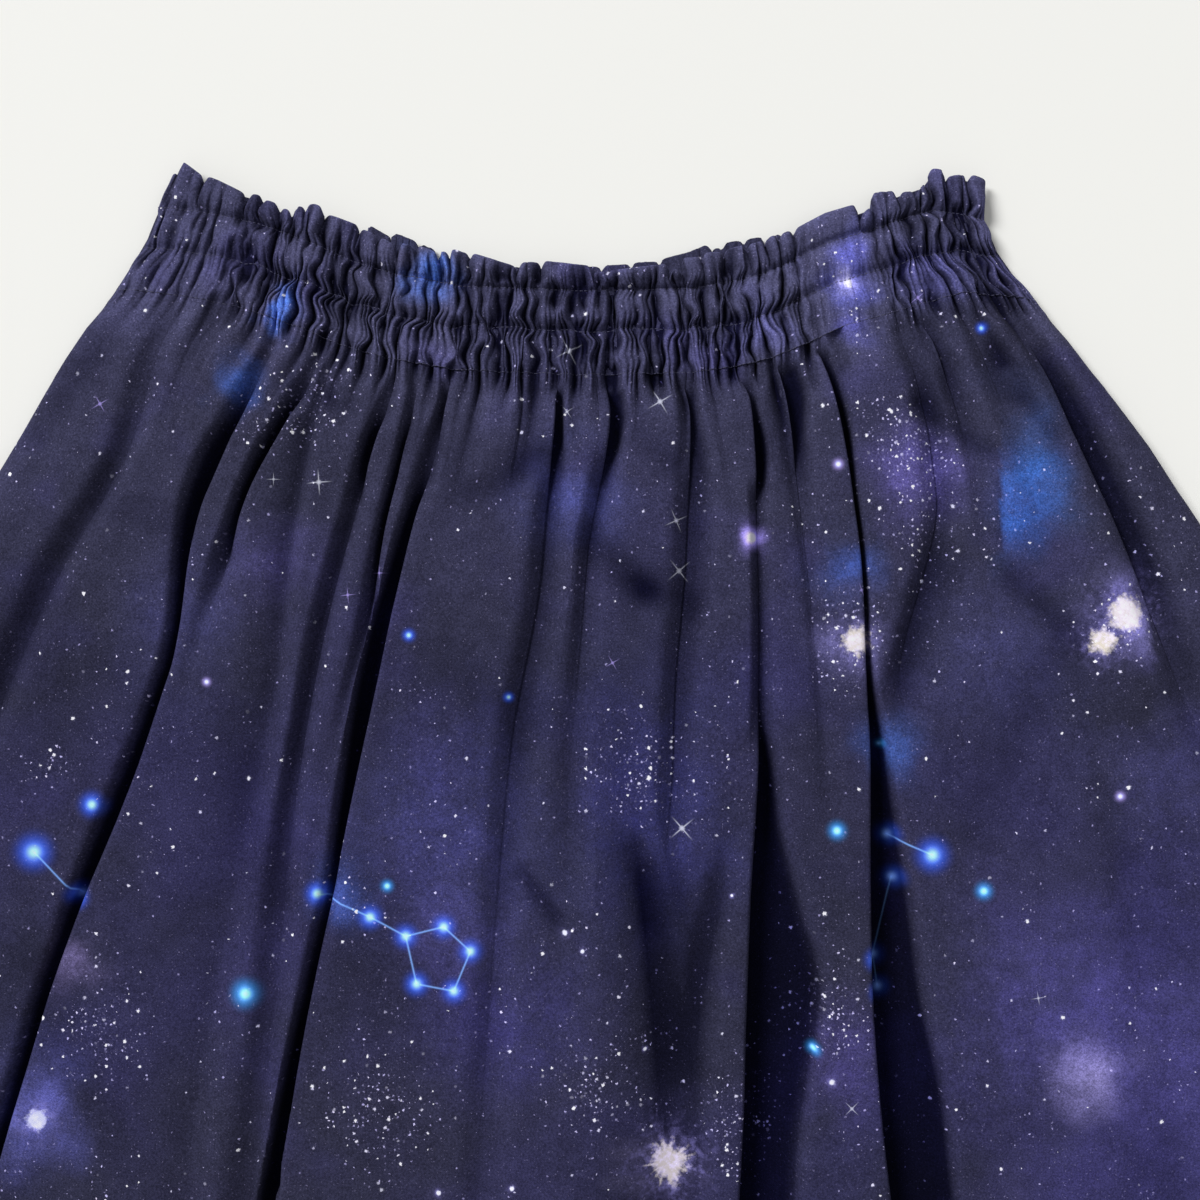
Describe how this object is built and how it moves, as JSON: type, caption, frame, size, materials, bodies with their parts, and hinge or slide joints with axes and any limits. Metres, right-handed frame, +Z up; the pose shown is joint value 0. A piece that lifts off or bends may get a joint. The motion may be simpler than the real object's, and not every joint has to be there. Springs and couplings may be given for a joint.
{
  "type": "gathered skirt",
  "caption": "Gathered skirt with a frilled elastic waistband, laid flat, its front falling in long uneven folds to a plain hem.",
  "frame": {"origin": "middle of the footprint on the surface that the skirt lies on", "axes": "+X across the skirt towards the side seam on the right of the picture, +Y towards the waist, +Z up from the surface"},
  "size_m": [0.7114, 0.6788, 0.0091],
  "materials": {
    "galaxy_cotton": "matte plain-weave cotton, navy, printed all over with stars and nebulae"
  },
  "bodies": {
    "root": {"front_panel": "galaxy_cotton", "back_panel": "galaxy_cotton", "front_waistband": "galaxy_cotton", "back_waistband": "galaxy_cotton"}
  },
  "joints": []
}
